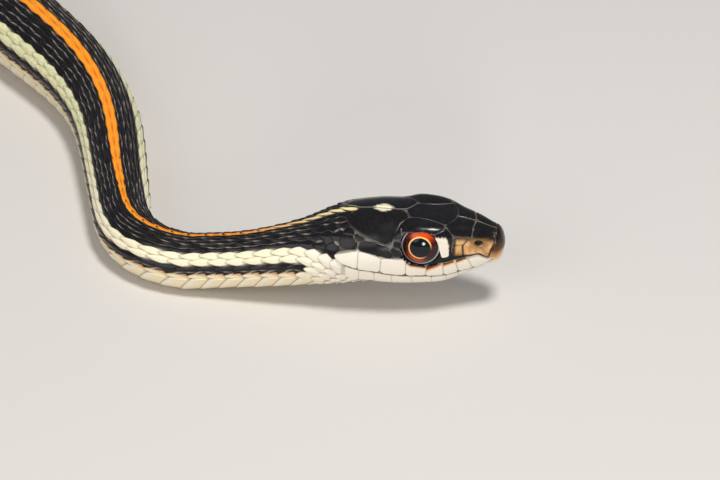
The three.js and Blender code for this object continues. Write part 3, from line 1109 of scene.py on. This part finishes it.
def rostral_plate():
    """The plate at the snout tip: rings round the tip itself, in which s runs out from the tip."""
    angle = np.arange(ROSTRAL_SIDES) * 360 / ROSTRAL_SIDES
    edge = np.interp(np.minimum(angle, 360 - angle), [a for _, a in ROSTRAL], [s for s, _ in ROSTRAL])
    share, lift = (np.repeat(column, ROSTRAL_SIDES) for column in zip(*ROSTRAL_RINGS))
    angle, edge = (np.tile(values, len(ROSTRAL_RINGS)) for values in (angle, edge))
    s = np.maximum(edge * share ** 1.6 - PLATE_SEAM * share, TIP_S)
    tip = surface(np.array([TIP_S]), np.array([90.0]), lift[-1])
    rim = np.maximum(0, 1 - (1 - share) / 0.1)
    marks = plate_marks("rostral", np.append(s, 0), np.append(signed(angle), 90), np.append(rim, 0), 0)
    turn = np.radians(angle)
    bake_map = 0.5 + 0.25 * np.vstack([np.stack([s * np.cos(turn), s * np.sin(turn)], -1), [0, 0]])
    faces = plate_faces(len(ROSTRAL_RINGS), ROSTRAL_SIDES)[:, ::-1]
    return np.vstack([surface(s, angle, lift), tip]), faces, marks, bake_map


# Eyes

PUPIL = srgb(8, 12, 20)
IRIS_DARK = srgb(34, 12, 9)
IRIS_RED = srgb(66, 24, 14)
IRIS_BRIGHT = srgb(206, 44, 8)
IRIS_ORANGE = srgb(240, 92, 20)
EYE_GOLD = srgb(255, 196, 112)
EYE_RIM = srgb(20, 12, 12)
EYE_EDGE = srgb(168, 168, 176)


def eye_finish():
    """Glossy eye: black pupil, pale gold ring and a red iris that is bright at the top."""
    bench = Bench("eye")
    away = bench.mark("away")
    mottle = bench.noise(14, 4).over(0.52, 0.22)
    iris = bench.blend(mottle, IRIS_DARK, IRIS_RED)
    iris = bench.blend(bench.mark("top"), iris, bench.blend(mottle, IRIS_BRIGHT, IRIS_ORANGE))
    ring = 1.0 - away.over(0.612, 0.02)
    iris = bench.blend(ring * bench.mark("gold"), iris, EYE_GOLD)
    colour = bench.blend(away.over(0.545, 0.012), PUPIL, iris)
    colour = bench.blend(away.over(0.88, 0.02), colour, EYE_RIM)
    colour = bench.blend(away.over(0.935, 0.015), colour, EYE_EDGE)
    return bench.finish(Base_Color=colour, Roughness=0.12, Coat_Weight=0.3, Coat_Roughness=0.03,
                        Specular_IOR_Level=0.22)


EYE_SUNK = 0.12
EYE_RINGS = 30
EYE_SIDES = 72


def make_eye(which, side, finish):
    """A shallow dome with a short wall, set into its socket."""
    middle, along, up, out = eye_frame(side)
    turn = np.arange(EYE_SIDES) * 2 * math.pi / EYE_SIDES
    far = np.sin(np.linspace(0.0, math.pi / 2, EYE_RINGS + 1))[1:]
    ball = (EYE_RADIUS ** 2 + EYE_BULGE ** 2) / (2 * EYE_BULGE)
    dome = np.sqrt(ball ** 2 - (far * EYE_RADIUS) ** 2) - (ball - EYE_BULGE) - EYE_SUNK
    radius = np.concatenate([[1.0, 1.0], far[::-1]])
    height = np.concatenate([[-0.7, -0.35], dome[::-1]])
    radius, height = (np.repeat(values, EYE_SIDES)[:, None] for values in (radius, height))
    turn = np.tile(turn, EYE_RINGS + 2)[:, None]
    wide = radius * EYE_RADIUS
    points = middle + wide * np.cos(turn) * along + wide * np.sin(turn) * up + height * out
    points = np.vstack([points, middle + (EYE_BULGE - EYE_SUNK) * out])
    faces = plate_faces(EYE_RINGS + 2, EYE_SIDES)
    if side > 0:
        faces = faces[:, ::-1]
    away = np.append(radius, 0)
    # Round the eye, as degrees up from straight back
    round_eye = np.append(np.degrees(turn), 90)
    low_glow = 0.5 * ease(1.2 - abs(round_eye - 292) / 50) * ease((0.94 - away) / 0.1)
    marks = {
        "away": away,
        "top": np.maximum(ease(1.3 - abs(round_eye - 95) / 52), low_glow),
        "gold": 1 - ease(1.3 - abs(round_eye - 207) / 52),
    }
    turn = np.radians(round_eye)
    span = np.stack([away * np.cos(turn), away * np.sin(turn)], -1)
    piece = make_piece(f"eyeball_{which}", points, faces, finish, marks, 0.5 + 0.46 * span, sharp=0)
    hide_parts(f"eye_{which}")


# Camera, floor and light

FLOOR_REACH = 3.0
# What the camera looks at in mm, how far down it looks in degrees and from how far away in metres
TARGET = (26.28, -34.82, 5.0)
CAMERA_DOWN = 36
CAMERA_AWAY = 0.42
CAMERA_LENS = 201.6
SENSOR_WIDTH = 36
SKY = (0.78, 0.86, 1.0, 1)
SKY_STRENGTH = 0.27
# Lamps: place seen from the target in mm, size in mm and power in watts
LAMPS = {
    "key": ((70, -90, 420), 110, 1.45),
    "fill": ((-260, -300, 260), 320, 0.45),
    "front": ((24, -392, 96), 80, 0.5),
}


def make_floor():
    corners = [(-1, -1, 0), (1, -1, 0), (1, 1, 0), (-1, 1, 0)]
    ground = bpy.data.meshes.new("floor")
    ground.from_pydata((np.array(corners) * FLOOR_REACH).tolist(), [], [(0, 1, 2, 3)])
    finish = Bench("floor").finish(Base_Color=srgb(214, 208, 200), Roughness=0.85)
    ground.materials.append(finish)
    floor = bpy.data.objects.new("floor", ground)
    bpy.context.scene.collection.objects.link(floor)


def make_camera(scene):
    camera = bpy.data.objects.new("camera", bpy.data.cameras.new("camera"))
    camera.data.lens = CAMERA_LENS
    camera.data.sensor_width = SENSOR_WIDTH
    camera.data.clip_start = 0.01
    down = math.radians(CAMERA_DOWN)
    forward = np.array([0, math.cos(down), -math.sin(down)])
    camera.location = np.array(TARGET) * MM - CAMERA_AWAY * forward
    camera.rotation_euler = (math.pi / 2 - down, 0, 0)
    scene.collection.objects.link(camera)
    scene.camera = camera


def make_light(scene):
    world = bpy.data.worlds.new("sky")
    world.use_nodes = True
    sky = world.node_tree.nodes["Background"].inputs
    sky["Color"].default_value = SKY
    sky["Strength"].default_value = SKY_STRENGTH
    scene.world = world
    for name, (place, size, power) in LAMPS.items():
        light = bpy.data.lights.new(name, "AREA")
        light.shape = "DISK"
        light.size = size * MM
        light.energy = power
        lamp = bpy.data.objects.new(name, light)
        lamp.location = ((np.array(TARGET) + place) * MM).tolist()
        x, y, z = place
        lamp.rotation_euler = (math.atan2(math.hypot(x, y), z), 0, math.atan2(x, -y))
        scene.collection.objects.link(lamp)


def make_stage():
    scene = bpy.context.scene
    scene.view_settings.view_transform = "Standard"
    make_floor()
    make_camera(scene)
    make_light(scene)


make_skin()
lengths = zip([0] + TRUNK_PARTS + [TIP_START], TRUNK_PARTS + [TIP_START, SCALES_END])
for number, (s_from, s_to) in enumerate(lengths):
    make_body_scales(f"body_scales_{number}", s_from, s_to, fine=s_to <= FINE_END)
    make_belly(f"belly_scales_{number}", max(s_from, BELLY_START), s_to)
make_head_scales()
glass = eye_finish()
make_eye("right", 1, glass)
make_eye("left", -1, glass)
make_stage()
